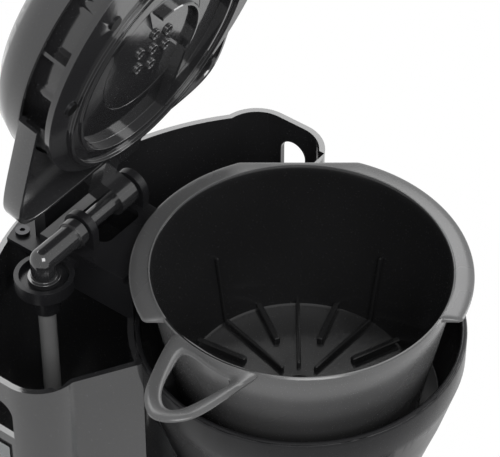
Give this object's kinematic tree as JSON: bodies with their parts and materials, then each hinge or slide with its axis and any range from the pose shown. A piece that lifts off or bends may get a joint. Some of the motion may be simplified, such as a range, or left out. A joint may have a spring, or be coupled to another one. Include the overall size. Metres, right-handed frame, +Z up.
{
  "type": "drip coffee maker",
  "caption": "Black drip coffee maker with an open hinged dome lid, a loop-handled filter basket, a rear water tank, a warming plate and a glass carafe.",
  "frame": {"origin": "centre of the footprint of the whole part at rest, on the surface that its feet stand on", "axes": "+Z up; -Y points to the front, where the carafe comes out; +X runs along the lid's hinge"},
  "size_m": [0.1956, 0.24, 0.4031],
  "materials": {
    "gloss_black": "gloss",
    "grey_plastic": "gloss",
    "dark_plate": "satin",
    "steel": "brushed",
    "aluminium": "cast",
    "rubber": "matte",
    "silicone": "matte",
    "riser_grey": "satin",
    "ivory": "satin",
    "ceramic": "matte",
    "glass": "gloss",
    "clear_window": "gloss",
    "red_lens": "gloss",
    "screw_steel": "satin"
  },
  "bodies": {
    "machine": {"base_shell": "gloss_black", "base_cover": "gloss_black", "feet": "rubber", "base_screws": "screw_steel", "plate_ring": "grey_plastic", "warming_plate": "dark_plate", "heater": "aluminium", "water_tube": "aluminium", "plate_bracket": "steel", "thermostat": "ceramic", "thermal_fuse": "ceramic", "body_shell": "gloss_black", "tank_windows": "clear_window", "deck": "gloss_black", "deck_screws": "screw_steel", "bowl_housing": "gloss_black", "cold_hose_lower": "silicone", "cold_hose_upper": "silicone", "check_valve_body": "ivory", "hot_hose": "silicone", "hose_clamps": "steel", "riser": "riser_grey", "riser_bracket": "gloss_black", "elbow": "gloss_black", "switch_body": "gloss_black", "lamp_lens": "red_lens", "cord_gland": "rubber"},
    "lid": {"hinge_tube": "gloss_black", "lid_shell": "gloss_black", "lid_cover": "grey_plastic", "lid_frame": "gloss_black", "spray_disc": "gloss_black", "water_arm": "gloss_black", "lid_screws": "screw_steel", "o_rings": "rubber"},
    "basket": {"basket": "grey_plastic", "valve_body": "gloss_black", "valve_spring": "steel"},
    "valve": {"valve_plunger": "ivory", "valve_seal": "silicone"},
    "carafe": {"carafe_glass": "glass", "carafe_band": "steel", "carafe_handle": "gloss_black", "carafe_screw": "screw_steel"},
    "carafe_lid": {"carafe_lid": "gloss_black"},
    "rocker": {"switch_rocker": "gloss_black"},
    "ball": {"check_ball": "ceramic"}
  },
  "joints": [
    {"name": "lid_hinge", "type": "hinge", "parent": "machine", "child": "lid", "pos_m": [0, 0.0675, 0.2525], "axis": [-1, 0, 0], "range_deg": [-75, 0]},
    {"name": "basket_lift", "type": "slide", "parent": "machine", "child": "basket", "axis": [0, 0, 1], "range_m": [0, 0.07]},
    {"name": "carafe_slide", "type": "slide", "parent": "machine", "child": "carafe", "axis": [0, -1, 0], "range_m": [0, 0.15]},
    {"name": "carafe_lid_twist", "type": "hinge", "parent": "carafe", "child": "carafe_lid", "pos_m": [0, -0.0165, 0.13], "axis": [0, 0, 1], "range_deg": [0, 40]},
    {"name": "drip_valve", "type": "slide", "parent": "basket", "child": "valve", "axis": [0, 0, 1], "range_m": [0, 0.003], "stiffness_N_per_m": 200, "deforming": ["valve_spring"]},
    {"name": "power_rocker", "type": "hinge", "parent": "machine", "child": "rocker", "pos_m": [0, -0.081, 0.02], "axis": [1, 0, 0], "range_deg": [-7, 7]},
    {"name": "check_valve", "type": "slide", "parent": "machine", "child": "ball", "axis": [0, 0, 1], "range_m": [0, 0.002]}
  ]
}
